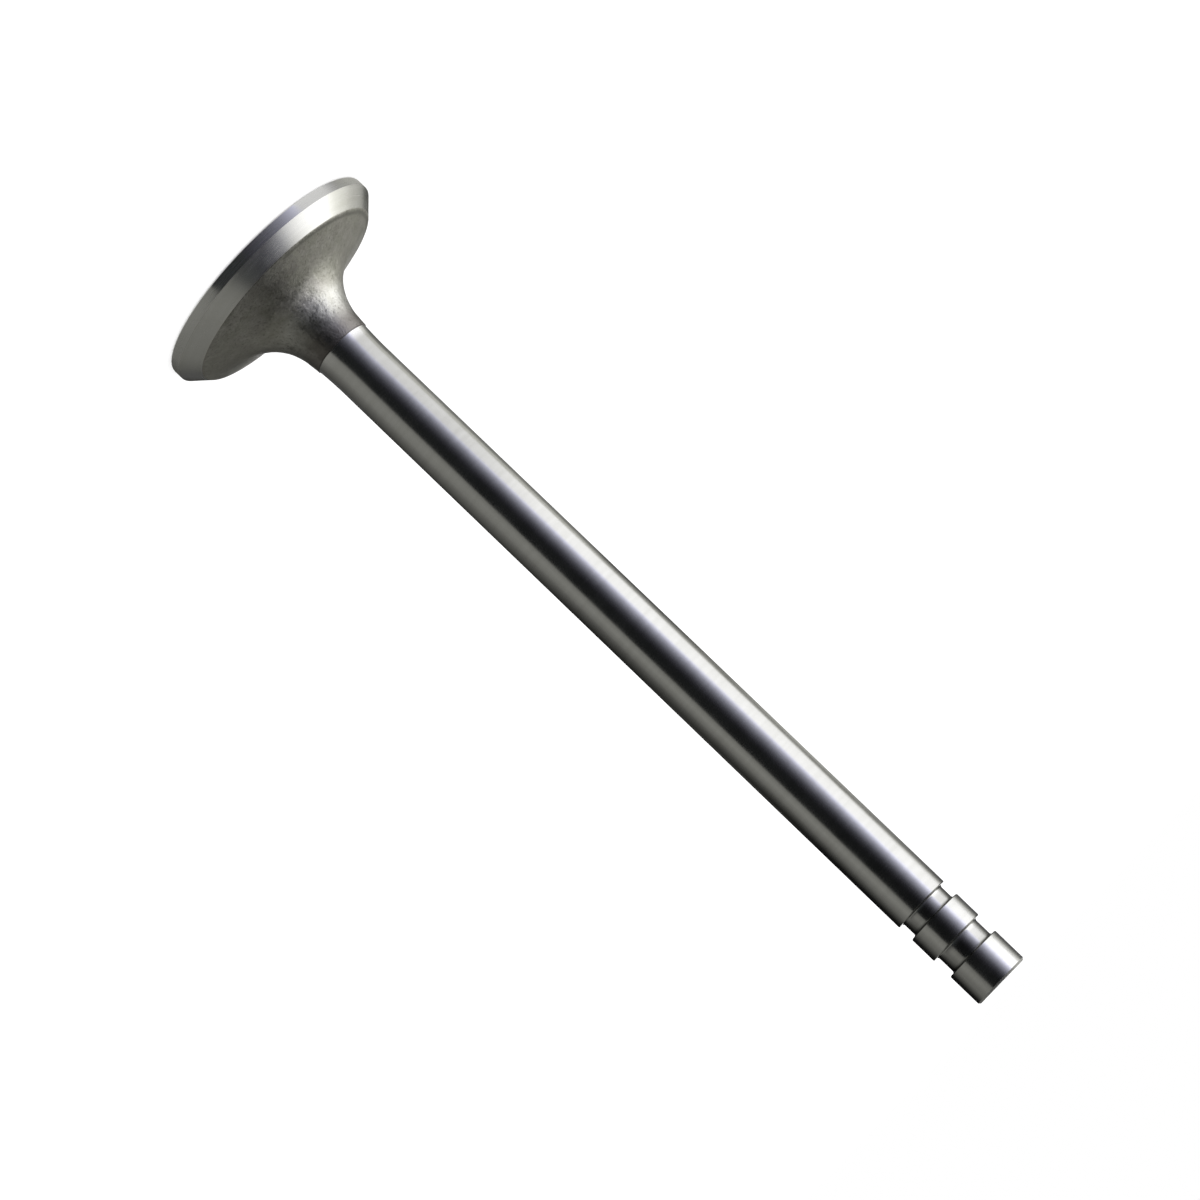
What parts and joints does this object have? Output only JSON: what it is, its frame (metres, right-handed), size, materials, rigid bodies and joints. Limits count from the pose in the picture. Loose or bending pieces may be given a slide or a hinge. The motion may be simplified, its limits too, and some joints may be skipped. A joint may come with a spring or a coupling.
{
  "type": "engine poppet valve",
  "caption": "Engine poppet valve with a 45 degree seat, a forged tulip neck, a ground parallel stem and two ring grooves near the tip.",
  "frame": {"origin": "centre of the flat combustion face, with the valve standing on its head", "axes": "+Z along the stem, from the combustion face to the tip"},
  "size_m": [0.0382, 0.038, 0.1455],
  "materials": {
    "valve_steel": "ground bright on the seat, margin, stem and tip; matte as forged on the back and neck"
  },
  "bodies": {
    "root": {"valve": "valve_steel"}
  },
  "joints": []
}
